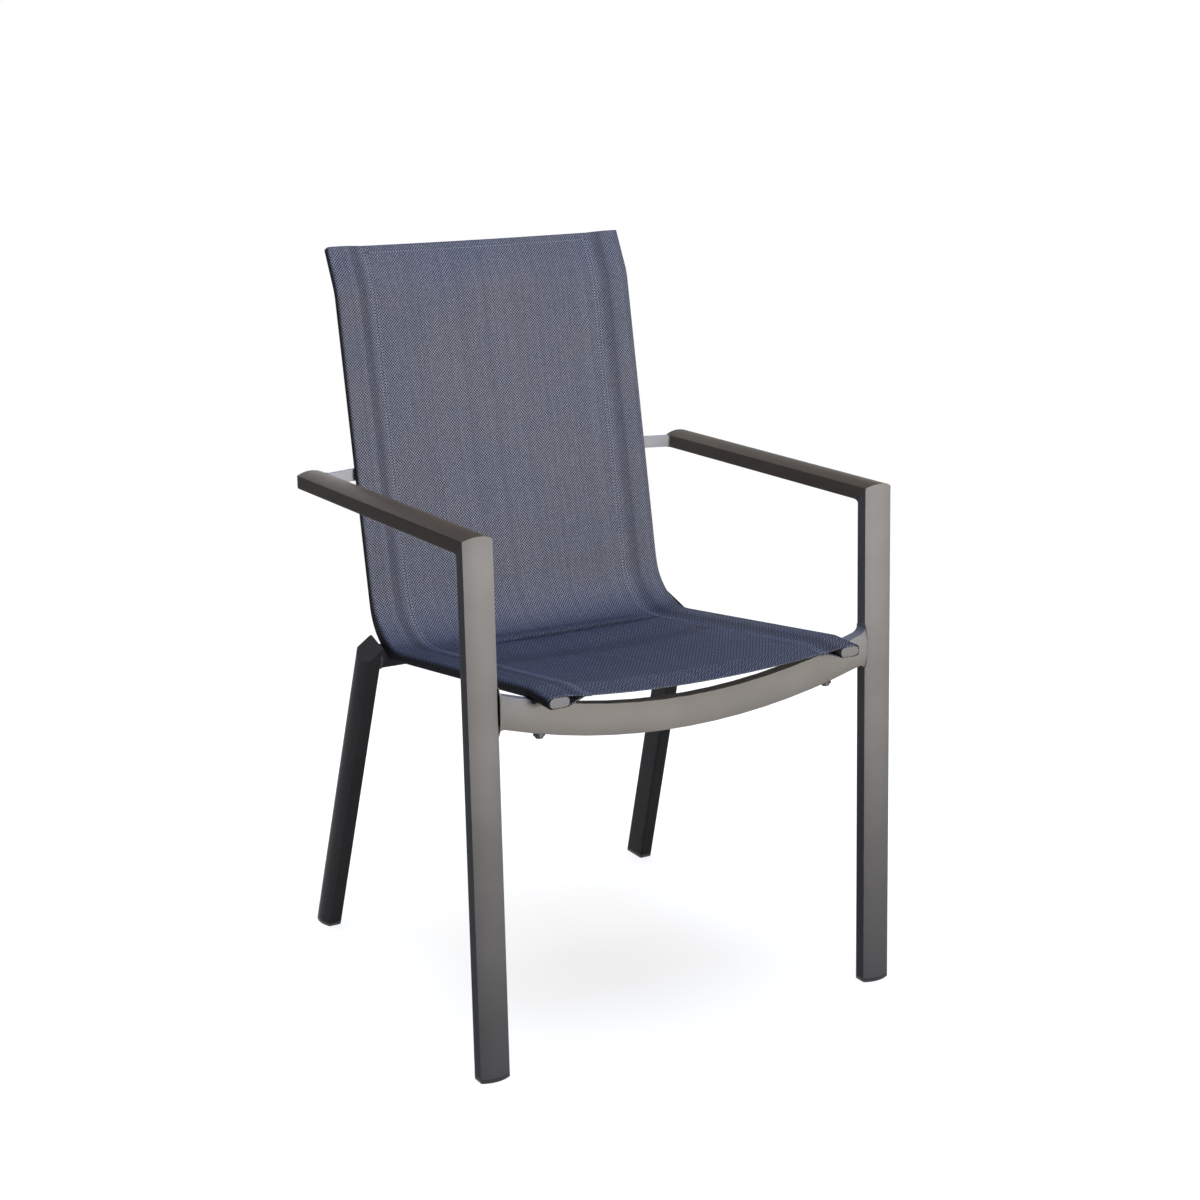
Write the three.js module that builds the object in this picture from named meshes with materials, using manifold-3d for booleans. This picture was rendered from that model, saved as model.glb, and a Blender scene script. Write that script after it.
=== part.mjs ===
// Stacking patio chair: a welded tube frame that carries a one-piece sling seat on two bent rails.
// Millimetres, +Z up, the front of the chair faces -Y, the chair is symmetric about X = 0.
import * as THREE from 'three';
import { mergeVertices } from 'three/addons/utils/BufferGeometryUtils.js';
import Module from 'manifold-3d';

const wasm = await Module();
wasm.setup();

// Fits
const GAP = 0.3; // between pieces that are cut to meet each other
const WELD_GAP = 0.2; // between a welded tube end and the flat it meets

// D-shaped frame tube: a flat back, two flat sides and a crowned outer face
const TUBE_WIDTH = 37.5;
const TUBE_SIDE = 17;
const TUBE_CROWN = 5;
const TUBE_CORNER = 2.5;
const TUBE_WALL = 1.8;

// Front legs and armrests
const FRONT_HALF_WIDTH = 290;
const ARM_HEIGHT = 630; // upper arris at the front corner
const ARM_LENGTH = 446; // from the front corner to the face of the end cap
const FRONT_LEAN = 2.4; // degrees, the foot is ahead of the corner
const ARM_SLOPE = 0.85; // degrees, the rear end is lower
const CORNER_FILLET = 9;

// Front seat rail, bowed downwards between the front legs
const SEAT_RAIL_HEIGHT = 395; // middle of the tube at X = 0
const SEAT_RAIL_BOW = 39;
const SEAT_RAIL_SETBACK = 1; // its crown edge behind that of the legs
const SEAT_RAIL_FILLET = 8;

// Link bar between the armrests, bowed backwards behind the sling
const LINK_BAR_HEIGHT = 16;
const LINK_BAR_THICKNESS = 4;
const LINK_BAR_CORNER = 1.2;
const LINK_BAR_BOW = 36;
const LINK_BAR_INSET = 3.5; // its rear face ahead of the armrest's end

// Rear legs and the cross tube between them
const REAR_LEAN = 16.6; // degrees, the foot is behind the corner
const REAR_SPLAY = 2.1; // degrees, the foot is outside the corner
const REAR_CLEARANCE = 15.2; // a leg's upper end inside the inner side of the front leg
const REAR_CORNER_SETBACK = 16.4; // where a leg's 45 degree end starts, behind the centre of the seat's bend
const REAR_CORNER_DROP = 72.5; // and below it
const COVER_THICKNESS = 2;
const CROSS_TUBE_SIDE = 12.5;
const CROSS_TUBE_CROWN = 4;
const REAR_SPACER = 2; // between the cross tube and the lowest place of a pocket

// Side of the seat and back, along the face of the fabric, from the nose to the top
const NOSE_DROP = 2; // degrees, the nose falls to the front
const SEAT_ANGLE = 7.4; // degrees, the seat rises to the front
const BACK_ANGLE = 11.8; // degrees from vertical
const TOP_ANGLE = 27.5; // degrees from vertical, above the kink near the top
const FRONT_SPACER = 3.6; // between the seat rail and a pocket, in its middle
const BACK_SPACER = 4.3; // between the link bar and a pocket
const NOSE_BEND_SETBACK = -4.9; // where the lines of the nose and the seat meet, behind the front corners
const NOSE_LENGTH = 46;
const BACK_LENGTH = 447.8;
const TOP_LENGTH = 58;
const NOSE_RADIUS = 30;
const SEAT_BACK_RADIUS = 57;
const TOP_RADIUS = 75;

// Sling rails: flat-oval tubes inside the pockets of the fabric
const RAIL_WIDTH = 25.5;
const RAIL_THICKNESS = 11.5;
const RAIL_CORNER = 5;
const RAIL_WALL = 1.5;

// Sling
const FABRIC = 0.9;
const SLING_CLEARANCE = 40.5; // between the edge of the sling and a front leg
const SEAM_INSET = 47; // from the edge to where the pocket is sewn to the sheet
const HEM = 8; // free edge of the pocket inside the seam
const NOSE_INSET = 1; // fabric edge behind the nose
const TOP_OVERHANG = 1.5; // fabric edge beyond the top plug
const NOSE_SAG = 8; // hollow of the sheet below its sides, on the middle line
const SEAT_SAG = 7;
const BEND_SAG = -3; // the taut sheet bridges the bend
const BACK_SAG = 5;
const TOP_SAG = 2;

// Caps, plugs and glides
const CAP_FLANGE = 3;
const CAP_DEPTH = 12;
const PLUG_FLANGE = 3;
const PLUG_DEPTH = 14;
const STUB_CLEARANCE = 0.4;
const GLIDE_HEIGHT = 5;
const GLIDE_EDGE = 1.2;

// Bolts that hold the sling rails, with spacers between the rails and the frame
const BOLT_RADIUS = 3;
const BOLT_CLEARANCE = 0.4;
const BOLT_TIP = 1; // beyond the nut
const HEAD_RADIUS = 5.2;
const HEAD_HEIGHT = 3;
const HEAD_TOP_RADIUS = 3.7;
const HEAD_RIM_RADIUS = 4.9;
const HEAD_RIM = 1.1; // depth of the head's rounded edge
const SOCKET_RADIUS = 2.3;
const SOCKET_DEPTH = 1.8;
const NUT_RADIUS = 4.6;
const NUT_HEIGHT = 4;
const SPACER_RADIUS = 7;
const SADDLE_THICKNESS = 3; // saddle washer under a bolt's head, in its middle
const ACCESS_RADIUS = 6.5; // hole under the cross tube for the bolt's head
const REAR_BOLT_OFFSET = 10; // ahead of the middle of the cross tube

// Facets
const CROWN_STEPS = 8;
const CORNER_STEPS = 3;
const RAIL_STEPS = 2;
const ROUND_STEPS = 16;
const BOW_STEPS = 14;
const FILLET_STEPS = 5;
const MIN_FACET = 0.5; // no station is closer to the end of a run

const OVERLAP = 1; // of joined bodies, and of a cutting tool past the face that it cuts

const rad = THREE.MathUtils.degToRad;
const vec = (x, y, z) => new THREE.Vector3(x, y, z);
const flat = (x, y) => new THREE.Vector2(x, y);
const X_AXIS = vec(1, 0, 0);
const Y_AXIS = vec(0, 1, 0);
const Z_AXIS = vec(0, 0, 1);
const FORWARD = vec(0, -1, 0);
const DOWN = vec(0, 0, -1);
const along = (point, direction, distance) => point.clone().addScaledVector(direction, distance);
const sides = Object.entries({ left: -1, right: 1 });

const finishes = {
  frame: { color: 0x3d3b39, roughness: 0.55, metalness: 0.5, flatShading: true },
  fabric: { color: 0x4b5468, roughness: 0.9, metalness: 0, flatShading: true },
  plastic: { color: 0x232325, roughness: 0.6, metalness: 0, flatShading: true },
  plug: { color: 0x8d9096, roughness: 0.6, metalness: 0, flatShading: true },
  steel: { color: 0x9a9c9f, roughness: 0.35, metalness: 0.9, flatShading: true },
};

const chair = new THREE.Group();
chair.name = 'sling_patio_chair';

function add(name, geometry, finish) {
  const mesh = new THREE.Mesh(geometry, new THREE.MeshStandardMaterial(finishes[finish]));
  mesh.name = name;
  chair.add(mesh);
}

// Six times the volume inside an indexed mesh
function signedVolume(positions, index) {
  const corner = (i) => vec(0, 0, 0).fromArray(positions, 3 * index[i]);
  let total = 0;
  for (let i = 0; i < index.length; i += 3) {
    total += corner(i).dot(corner(i + 1).cross(corner(i + 2)));
  }
  return total;
}

function indexedGeometry(positions, index) {
  if (signedVolume(positions, index) < 0) index.reverse();
  const geometry = new THREE.BufferGeometry();
  geometry.setAttribute('position', new THREE.Float32BufferAttribute(positions, 3));
  geometry.setIndex(index);
  return geometry;
}

const arc = (x, y, radius, from, to, steps) =>
  new THREE.EllipseCurve(x, y, radius, radius, from, to, to < from).getPoints(steps);

// Cross-section: the outline runs anticlockwise and its holes clockwise
function section(outline, holes = []) {
  const wound = (points, clockwise) =>
    THREE.ShapeUtils.isClockWise(points) === clockwise ? points : [...points].reverse();
  return { outline: wound(outline, false), holes: holes.map((hole) => wound(hole, true)) };
}

// Closed solid that carries a section through its stations. A station places a section point in space.
function loft({ outline, holes }, stations) {
  const points = [outline, ...holes].flat();
  const positions = stations.flatMap((place) => points.flatMap((point, i) => place(point, i).toArray()));
  const index = [];
  let start = 0;
  for (const contour of [outline, ...holes]) {
    for (let i = 0; i < contour.length; i += 1) {
      const a = start + i;
      const b = start + ((i + 1) % contour.length);
      for (let low = 0; low < (stations.length - 1) * points.length; low += points.length) {
        const high = low + points.length;
        index.push(low + a, low + b, high + b, low + a, high + b, high + a);
      }
    }
    start += contour.length;
  }
  const last = (stations.length - 1) * points.length;
  for (const face of THREE.ShapeUtils.triangulateShape(outline, holes)) {
    const flipped = THREE.ShapeUtils.isClockWise(face.map((i) => points[i]));
    const [a, b, c] = flipped ? [...face].reverse() : face;
    index.push(a, c, b, last + a, last + b, last + c);
  }
  return indexedGeometry(positions, index);
}

// Closed solid turned about an axis. The profile is in radii and heights from the start.
function turned(profile, start, direction, steps = ROUND_STEPS) {
  const raw = new THREE.LatheGeometry(profile.map(([radius, height]) => flat(radius, height)), steps);
  raw.deleteAttribute('normal');
  raw.deleteAttribute('uv');
  const merged = mergeVertices(raw, 1e-4);
  const index = [];
  for (let i = 0; i < merged.index.count; i += 3) {
    const face = [0, 1, 2].map((k) => merged.index.getX(i + k));
    if (new Set(face).size === 3) index.push(...face);
  }
  const spin = new THREE.Quaternion().setFromUnitVectors(Y_AXIS, direction);
  return indexedGeometry([...merged.attributes.position.array], index)
    .applyQuaternion(spin)
    .translate(start.x, start.y, start.z);
}

const rod = (radius, length, start, direction, steps) =>
  turned([[0, 0], [radius, 0], [radius, length], [0, length]], start, direction, steps);

function solid(geometry) {
  return new wasm.Manifold(new wasm.Mesh({
    numProp: 3,
    vertProperties: new Float32Array(geometry.attributes.position.array),
    triVerts: new Uint32Array(geometry.index.array),
  }));
}

function geometryOf(body) {
  const mesh = body.getMesh();
  return indexedGeometry([...mesh.vertProperties], [...mesh.triVerts]);
}

const cut = (body, ...tools) =>
  geometryOf(tools.reduce((rest, tool) => rest.subtract(solid(tool)), solid(body)));
const join = (...bodies) => geometryOf(bodies.map(solid).reduce((one, other) => one.add(other)));

// A frame holds a tube's origin, the two axes u and v of its section and the tube's own axis
const at = (frame, point) => along(along(frame.origin, frame.u, point.x), frame.v, point.y);
const planeAt = (normal, point) => new THREE.Plane().setFromNormalAndCoplanarPoint(normal, point);
const across = (frame, distance) => planeAt(frame.axis, along(frame.origin, frame.axis, distance));
const floorPlane = (height) => planeAt(Z_AXIS, vec(0, 0, height));

// Station where a tube ends on a plane, each point of its section sliding along the tube
function endOn(frame, plane) {
  return (point) => {
    const place = at(frame, point);
    return along(place, frame.axis, -plane.distanceToPoint(place) / plane.normal.dot(frame.axis));
  };
}

// D outline with its flat back on y = 0, shrunk on every side by an inset
function dOutline(side, crown, inset = 0) {
  const half = TUBE_WIDTH / 2;
  const radius = (half * half + crown * crown) / (2 * crown);
  const edge = half - inset;
  const reach = Math.asin(edge / (radius - inset));
  const corner = Math.max(TUBE_CORNER - inset, 0.5);
  const quarter = Math.PI / 2;
  return [
    ...arc(edge - corner, inset + corner, corner, -quarter, 0, CORNER_STEPS),
    ...arc(0, side + crown - radius, radius - inset, quarter - reach, quarter + reach, CROWN_STEPS),
    ...arc(corner - edge, inset + corner, corner, 2 * quarter, 3 * quarter, CORNER_STEPS),
  ];
}

const dTube = (side, crown) => section(dOutline(side, crown), [dOutline(side, crown, TUBE_WALL)]);
const frameTube = dTube(TUBE_SIDE, TUBE_CROWN);
const frameBar = (inset) => section(dOutline(TUBE_SIDE, TUBE_CROWN, inset));
const frameStub = frameBar(TUBE_WALL + STUB_CLEARANCE);

function roundedRectangle(width, height, corner, steps) {
  const x = width / 2 - corner;
  const y = height / 2 - corner;
  const turn = (cx, cy, quarter) =>
    arc(cx, cy, corner, (quarter * Math.PI) / 2, ((quarter + 1) * Math.PI) / 2, steps);
  return [...turn(x, y, 0), ...turn(-x, y, 1), ...turn(-x, -y, 2), ...turn(x, -y, 3)];
}

// Glide: a D-shaped foot with a rounded lower edge, flat on the floor, and a stub inside the leg
function glide(leg) {
  const lower = dOutline(TUBE_SIDE, TUBE_CROWN, GLIDE_EDGE);
  const foot = loft(frameBar(0), [
    (point, i) => endOn(leg, floorPlane(0))(lower[i]),
    endOn(leg, floorPlane(GLIDE_EDGE)),
    endOn(leg, floorPlane(GLIDE_HEIGHT)),
  ]);
  const stub = loft(frameStub, [
    endOn(leg, floorPlane(GLIDE_HEIGHT - OVERLAP)),
    endOn(leg, floorPlane(GLIDE_HEIGHT + CAP_DEPTH)),
  ]);
  return join(foot, stub);
}

// Front legs, mitred to the armrests
const armUp = vec(0, Math.sin(rad(ARM_SLOPE)), Math.cos(rad(ARM_SLOPE)));
const armBack = vec(0, Math.cos(rad(ARM_SLOPE)), -Math.sin(rad(ARM_SLOPE)));
const legForward = vec(0, -Math.cos(rad(FRONT_LEAN)), Math.sin(rad(FRONT_LEAN)));
const legDown = vec(0, -Math.sin(rad(FRONT_LEAN)), -Math.cos(rad(FRONT_LEAN)));
const mitreNormal = legDown.clone().sub(armBack).normalize();
const FRONT_INNER_X = FRONT_HALF_WIDTH - TUBE_WIDTH;
const legEdgeY = (z) => (z - ARM_HEIGHT) * Math.tan(rad(FRONT_LEAN));
const armEdgeZ = (y) => ARM_HEIGHT - y * Math.tan(rad(ARM_SLOPE));

// Weld fillet in the inner corner, part of the leg and just clear of the armrest
function cornerFillet(corner, leg) {
  const inner = endOn(leg, planeAt(mitreNormal, corner))(flat(0, 0));
  const clear = along(inner, armUp, -GAP);
  const onLeg = along(inner, legDown, CORNER_FILLET);
  const onArm = along(clear, armBack, CORNER_FILLET);
  const curve = new THREE.QuadraticBezierCurve3(onLeg, clear, onArm);
  const inWall = [clear, onLeg].map((point) => along(point, legForward, TUBE_WALL / 2));
  const outline = [...curve.getPoints(FILLET_STEPS), ...inWall].map((point) => flat(point.y, point.z));
  const half = TUBE_WIDTH / 2 - TUBE_CORNER;
  const stations = [-half, half].map((x) => (point) => vec(corner.x + x, point.x, point.y));
  return loft(section(outline), stations);
}

for (const [word, side] of sides) {
  const corner = vec(side * (FRONT_HALF_WIDTH - TUBE_WIDTH / 2), 0, ARM_HEIGHT);
  const mitre = (shift) => planeAt(mitreNormal, along(corner, mitreNormal, shift));
  const frameOf = (v, axis) => ({ origin: along(corner, v, -TUBE_SIDE), u: X_AXIS, v, axis });

  const leg = frameOf(legForward, legDown);
  const legStations = [endOn(leg, mitre(GAP / 2)), endOn(leg, floorPlane(GLIDE_HEIGHT + GAP))];
  add(`front_leg_${word}`, join(loft(frameTube, legStations), cornerFillet(corner, leg)), 'frame');
  add(`foot_glide_front_${word}`, glide(leg), 'plastic');

  const arm = frameOf(armUp, armBack);
  const capAt = ARM_LENGTH - CAP_FLANGE;
  const armStation = (distance) => endOn(arm, across(arm, distance));
  add(`armrest_${word}`, loft(frameTube, [endOn(arm, mitre(-GAP / 2)), armStation(capAt - GAP)]), 'frame');
  const flange = loft(frameBar(0), [armStation(capAt), armStation(ARM_LENGTH)]);
  const stub = loft(frameStub, [armStation(capAt - CAP_DEPTH), armStation(capAt + OVERLAP)]);
  add(`armrest_end_cap_${word}`, join(flange, stub), 'plastic');
}

// Pockets and the sling rails in them
const SLING_HALF_WIDTH = FRONT_INNER_X - SLING_CLEARANCE;
const SEAM_HALF_WIDTH = SLING_HALF_WIDTH - SEAM_INSET;
const POCKET_WIDTH = RAIL_WIDTH + 2 * (GAP + FABRIC);
const POCKET_THICKNESS = RAIL_THICKNESS + 2 * (GAP + FABRIC);
const RAIL_X = SLING_HALF_WIDTH - POCKET_WIDTH / 2;
const RAIL_UNDER = POCKET_THICKNESS - FABRIC - GAP; // below the face

// Bow of a bar between the inner sides of the front legs or armrests: an arc over its chord
function bowArc(bow) {
  const reach = FRONT_INNER_X - WELD_GAP;
  const radius = (reach * reach + bow * bow) / (2 * bow);
  return { reach, radius, rise: (x) => bow - radius + Math.sqrt(radius * radius - x * x) };
}

// The front seat rail carries the seat, and the link bar the back. It is flush with the armrests' sides.
const seatRailBack = legEdgeY(SEAT_RAIL_HEIGHT) + SEAT_RAIL_SETBACK + TUBE_SIDE;
const seatRailChord = vec(0, seatRailBack, SEAT_RAIL_HEIGHT + SEAT_RAIL_BOW);
const linkBarY = ARM_LENGTH - LINK_BAR_INSET - LINK_BAR_THICKNESS / 2;
const linkBarChord = vec(0, linkBarY, armEdgeZ(linkBarY) - LINK_BAR_HEIGHT / 2);
const seatSupport = flat(seatRailBack - TUBE_SIDE / 2, seatRailChord.z - bowArc(SEAT_RAIL_BOW).rise(RAIL_X));
const backSupport = flat(linkBarY + bowArc(LINK_BAR_BOW).rise(RAIL_X), linkBarChord.z);

// Side line of the seat and back on the face of the fabric, in the YZ plane
const step = (point, degrees, distance) =>
  flat(point.x + distance * Math.cos(rad(degrees)), point.y + distance * Math.sin(rad(degrees)));
const seatPoint = step(seatSupport, 90 - SEAT_ANGLE, TUBE_WIDTH / 2 + FRONT_SPACER + POCKET_THICKNESS);
const backStandoff = LINK_BAR_THICKNESS / 2 + BACK_SPACER + POCKET_THICKNESS;
const backPoint = step(backSupport, 180 - BACK_ANGLE, backStandoff);

// Where the straight lines of the seat and the back meet
function seatBackCorner() {
  const seat = step(flat(0, 0), -SEAT_ANGLE, 1);
  const upwards = step(flat(0, 0), 90 - BACK_ANGLE, 1);
  const distance = backPoint.clone().sub(seatPoint).cross(upwards) / seat.cross(upwards);
  return step(seatPoint, -SEAT_ANGLE, distance);
}

const seatBack = seatBackCorner();
const SEAT_LENGTH = (seatBack.x - NOSE_BEND_SETBACK) / Math.cos(rad(SEAT_ANGLE));
const noseBend = step(seatBack, 180 - SEAT_ANGLE, SEAT_LENGTH);
const noseTip = step(noseBend, 180 + NOSE_DROP, NOSE_LENGTH);
const topBend = step(seatBack, 90 - BACK_ANGLE, BACK_LENGTH);
const topTip = step(topBend, 90 - TOP_ANGLE, TOP_LENGTH);

const straights = [
  { angle: NOSE_DROP, from: noseTip, to: noseBend, cuts: 1 },
  { angle: -SEAT_ANGLE, from: noseBend, to: seatBack, cuts: 4 },
  { angle: 90 - BACK_ANGLE, from: seatBack, to: topBend, cuts: 4 },
  { angle: 90 - TOP_ANGLE, from: topBend, to: topTip, cuts: 1 },
];
const bends = [
  { radius: NOSE_RADIUS, steps: 2 },
  { radius: SEAT_BACK_RADIUS, steps: 8 },
  { radius: TOP_RADIUS, steps: 3 },
];
const turnOf = (i) => straights[i + 1].angle - straights[i].angle;
const setback = (i) => (bends[i] ? bends[i].radius * Math.tan(rad(Math.abs(turnOf(i)) / 2)) : 0);

// Every edge on the side line: its point, its angle and its distance from the nose
function sideLine() {
  const line = [];
  const push = (point, angle, kind) => {
    const before = line.at(-1);
    const distance = before ? before.distance + before.point.distanceTo(point) : 0;
    line.push({ point, angle, kind, distance });
  };
  straights.forEach(({ angle, from, to, cuts }, i) => {
    const first = step(from, angle, setback(i - 1));
    const final = step(to, angle, -setback(i));
    for (let k = 0; k <= cuts; k += 1) {
      push(first.clone().lerp(final, k / cuts), angle, k % cuts === 0 ? 'bent' : 'straight');
    }
    if (!bends[i]) return;
    const { radius, steps } = bends[i];
    const outward = Math.sign(turnOf(i)) * 90;
    const centre = step(final, angle + outward, radius);
    for (let k = 1; k < steps; k += 1) {
      const here = angle + (turnOf(i) * k) / steps;
      push(step(centre, here - outward, radius), here, 'bent');
    }
  });
  return line;
}

const line = sideLine();
const SIDE_LENGTH = line.at(-1).distance;

// Place at a distance along the side line, past its ends too
function placeAt(distance) {
  const after = line.findIndex((place) => place.distance >= distance);
  const i = after < 0 ? line.length - 1 : Math.max(after, 1);
  const share = (distance - line[i - 1].distance) / (line[i].distance - line[i - 1].distance);
  return {
    point: flat(0, 0).lerpVectors(line[i - 1].point, line[i].point, share),
    angle: THREE.MathUtils.lerp(line[i - 1].angle, line[i].angle, share),
    distance,
  };
}

function placesBetween(from, to, kinds) {
  const inside = line.filter(({ distance, kind }) =>
    distance > from + MIN_FACET && distance < to - MIN_FACET && kinds.includes(kind));
  return [placeAt(from), ...inside, placeAt(to)];
}

const faceNormal = (angle) => vec(0, -Math.sin(rad(angle)), Math.cos(rad(angle)));
const stationAt = ({ point, angle }) => (p) => along(vec(p.x, point.x, point.y), faceNormal(angle), p.y);
const bentStations = (from, to) => placesBetween(from, to, ['bent']).map(stationAt);

// Sling rails and their plugs
function railOutline(side, grow) {
  const outline = roundedRectangle(
    RAIL_WIDTH + 2 * grow, RAIL_THICKNESS + 2 * grow, RAIL_CORNER + grow, RAIL_STEPS);
  return outline.map((point) => flat(side * RAIL_X + point.x, point.y - POCKET_THICKNESS / 2));
}

const pocketKeepOut = (side) =>
  loft(section(railOutline(side, GAP + FABRIC + GAP)), bentStations(0, SIDE_LENGTH));

function railPlug(side, flange, stub) {
  const stubShape = section(railOutline(side, -RAIL_WALL - STUB_CLEARANCE));
  const flangeShape = section(railOutline(side, 0));
  return join(loft(flangeShape, bentStations(...flange)), loft(stubShape, bentStations(...stub)));
}

// Section of the sling: a sheet with a pocket at each side, slightly hollow in the middle
const hollow = (x) => Math.max(1 - (x / SEAM_HALF_WIDTH) ** 2, 0);

function slingSection() {
  const quarter = Math.PI / 2;
  const cornerX = RAIL_WIDTH / 2 - RAIL_CORNER;
  const cornerY = RAIL_THICKNESS / 2 - RAIL_CORNER;
  const corner = (sx, sy, radius, from, to, steps) =>
    arc(RAIL_X + sx * cornerX, sy * cornerY - POCKET_THICKNESS / 2, radius, from, to, steps);
  // The lower layer leaves the rail on a tangent that ends at the seam
  const layer = (radius, seam) => {
    const centre = flat(RAIL_X - cornerX, -cornerY - POCKET_THICKNESS / 2);
    const aim = centre.clone().sub(seam);
    const leave = aim.angle() - Math.asin(radius / aim.length()) - quarter;
    return [seam, centre.clone().add(flat(radius, 0).rotateAround(flat(0, 0), leave))];
  };
  const round = (radius) => [
    ...corner(-1, -1, radius, -quarter, 0, 1).slice(0, 1),
    ...corner(1, -1, radius, -quarter, 0, RAIL_STEPS),
    ...corner(1, 1, radius, 0, quarter, RAIL_STEPS),
  ];
  const outer = RAIL_CORNER + GAP + FABRIC;
  const inner = RAIL_CORNER + GAP;
  const hemX = SEAM_HALF_WIDTH - HEM;
  const sheet = [hemX / 3, (2 * hemX) / 3];
  const half = [
    ...[...sheet, hemX].map((x) => flat(x, -FABRIC - hollow(x))),
    flat(hemX, -2 * FABRIC - hollow(hemX)),
    ...layer(outer, flat(SEAM_HALF_WIDTH, -2 * FABRIC)),
    ...round(outer),
    flat(SEAM_HALF_WIDTH, 0),
    ...sheet.reverse().map((x) => flat(x, -hollow(x))),
  ];
  const mirrored = (points) => points.map((point) => flat(-point.x, point.y)).reverse();
  const outline = [flat(0, -FABRIC - hollow(0)), ...half, flat(0, -hollow(0)), ...mirrored(half)];
  const cavity = [...layer(inner, flat(SEAM_HALF_WIDTH + 1, -FABRIC)), ...round(inner)];
  return section(outline, [cavity, mirrored(cavity)]);
}

// Hollow of the sheet on its middle line, between values at known distances
const startOf = (k) => line.find(({ angle }) => Math.abs(angle - straights[k].angle) < 1e-6).distance;
const sagKnots = [
  [0, NOSE_SAG],
  [startOf(1) + SEAT_LENGTH / 2, SEAT_SAG],
  [startOf(2) - SEAT_BACK_RADIUS / 2, BEND_SAG],
  [startOf(2) + BACK_LENGTH / 2, BACK_SAG],
  [SIDE_LENGTH + TOP_OVERHANG, TOP_SAG],
];

function sagAt(distance) {
  const next = sagKnots.findIndex(([knot]) => knot >= distance);
  const k = Math.max(next, 1);
  const [[from, before], [to, after]] = [sagKnots[k - 1], sagKnots[k]];
  return THREE.MathUtils.lerp(before, after, THREE.MathUtils.smoothstep(distance, from, to));
}

function slingStation(place) {
  const extra = sagAt(place.distance) - 1;
  return (p) => stationAt(place)(flat(p.x, p.y - extra * hollow(p.x)));
}

// Stations of a bowed bar, each in a plane of equal x. The chord has the given middle, the bow and the
// section's x axis point outwards, its y axis upright. The section widens at the distances from the ends.
function bowStations(middle, bow, outward, upright, widen = () => 0, distances = [0]) {
  const { reach, radius } = bowArc(bow);
  const centre = along(middle, outward, bow - radius);
  const span = reach - distances[0];
  const even = Array.from({ length: BOW_STEPS + 1 }, (_, i) => span * ((2 * i) / BOW_STEPS - 1));
  const near = distances.slice(1).map((distance) => reach - distance);
  return [...near.map((x) => -x).reverse(), ...even, ...near].map((x) => {
    const angle = Math.asin(x / radius);
    const turnedTo = (turn, one, other) =>
      along(one.clone().multiplyScalar(Math.cos(turn)), other, Math.sin(turn));
    const u = turnedTo(angle, outward, X_AXIS);
    const axis = turnedTo(-angle, X_AXIS, outward);
    const frame = { origin: along(centre, u, radius), u, v: upright, axis };
    const station = endOn(frame, planeAt(X_AXIS, vec(x, 0, 0)));
    return (p) => station(flat(p.x + Math.sign(p.x) * widen(reach - Math.abs(x)), p.y));
  });
}

// Front seat rail: its section's width stands upright and its crown faces forwards
function seatRail(shape) {
  const fillet = (distance) => {
    const short = Math.max(SEAT_RAIL_FILLET - distance, 0);
    return SEAT_RAIL_FILLET - Math.sqrt(SEAT_RAIL_FILLET ** 2 - short ** 2);
  };
  const distances = [1, 0.6, 0.3, 0.1, 0].map((share) => share * SEAT_RAIL_FILLET);
  return loft(shape, bowStations(seatRailChord, SEAT_RAIL_BOW, DOWN, FORWARD, fillet, distances));
}

function linkBar(grow) {
  const outline = roundedRectangle(
    LINK_BAR_THICKNESS + 2 * grow, LINK_BAR_HEIGHT + 2 * grow, LINK_BAR_CORNER + grow, RAIL_STEPS);
  return loft(section(outline), bowStations(linkBarChord, LINK_BAR_BOW, Y_AXIS, Z_AXIS));
}

// Cross tube: its flat faces the bends of the rails and its front is in line with the rear legs' fronts
const rearUp = vec(0, -Math.sin(rad(REAR_LEAN)), Math.cos(rad(REAR_LEAN)));
const rearBack = vec(0, Math.cos(rad(REAR_LEAN)), Math.sin(rad(REAR_LEAN)));
const bendMiddle = step(step(seatBack, 180 - SEAT_ANGLE, setback(1)), 90 - SEAT_ANGLE, SEAT_BACK_RADIUS);
const bendCentre = vec(0, bendMiddle.x, bendMiddle.y);
const crossTubeTop = bendCentre.dot(rearUp) - SEAT_BACK_RADIUS - POCKET_THICKNESS - REAR_SPACER - GAP;
const rearCorner = bendCentre.clone().add(vec(0, REAR_CORNER_SETBACK, -REAR_CORNER_DROP));
const crossTubeMiddle = rearCorner.dot(rearBack) + TUBE_WIDTH / 2;
const crossTube = {
  origin: along(along(vec(0, 0, 0), rearUp, crossTubeTop), rearBack, crossTubeMiddle),
  u: rearBack,
  v: rearUp.clone().negate(),
  axis: X_AXIS,
};

// Rear legs: the crown faces outwards, and the upper end is cut at 45 degrees and closed with a cover
function rearLeg(side) {
  const slope = (degrees) => Math.tan(rad(degrees));
  const axis = vec(side * slope(REAR_SPLAY), slope(REAR_LEAN), -1).normalize();
  const v = along(vec(side, 0, 0), axis, -side * axis.x).normalize();
  const u = v.clone().cross(axis).multiplyScalar(side);
  const edge = rearCorner.clone().setX(side * (FRONT_INNER_X - REAR_CLEARANCE));
  return { origin: along(along(edge, u, TUBE_WIDTH / 2), v, -TUBE_SIDE), u, v, axis, edge };
}

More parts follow.
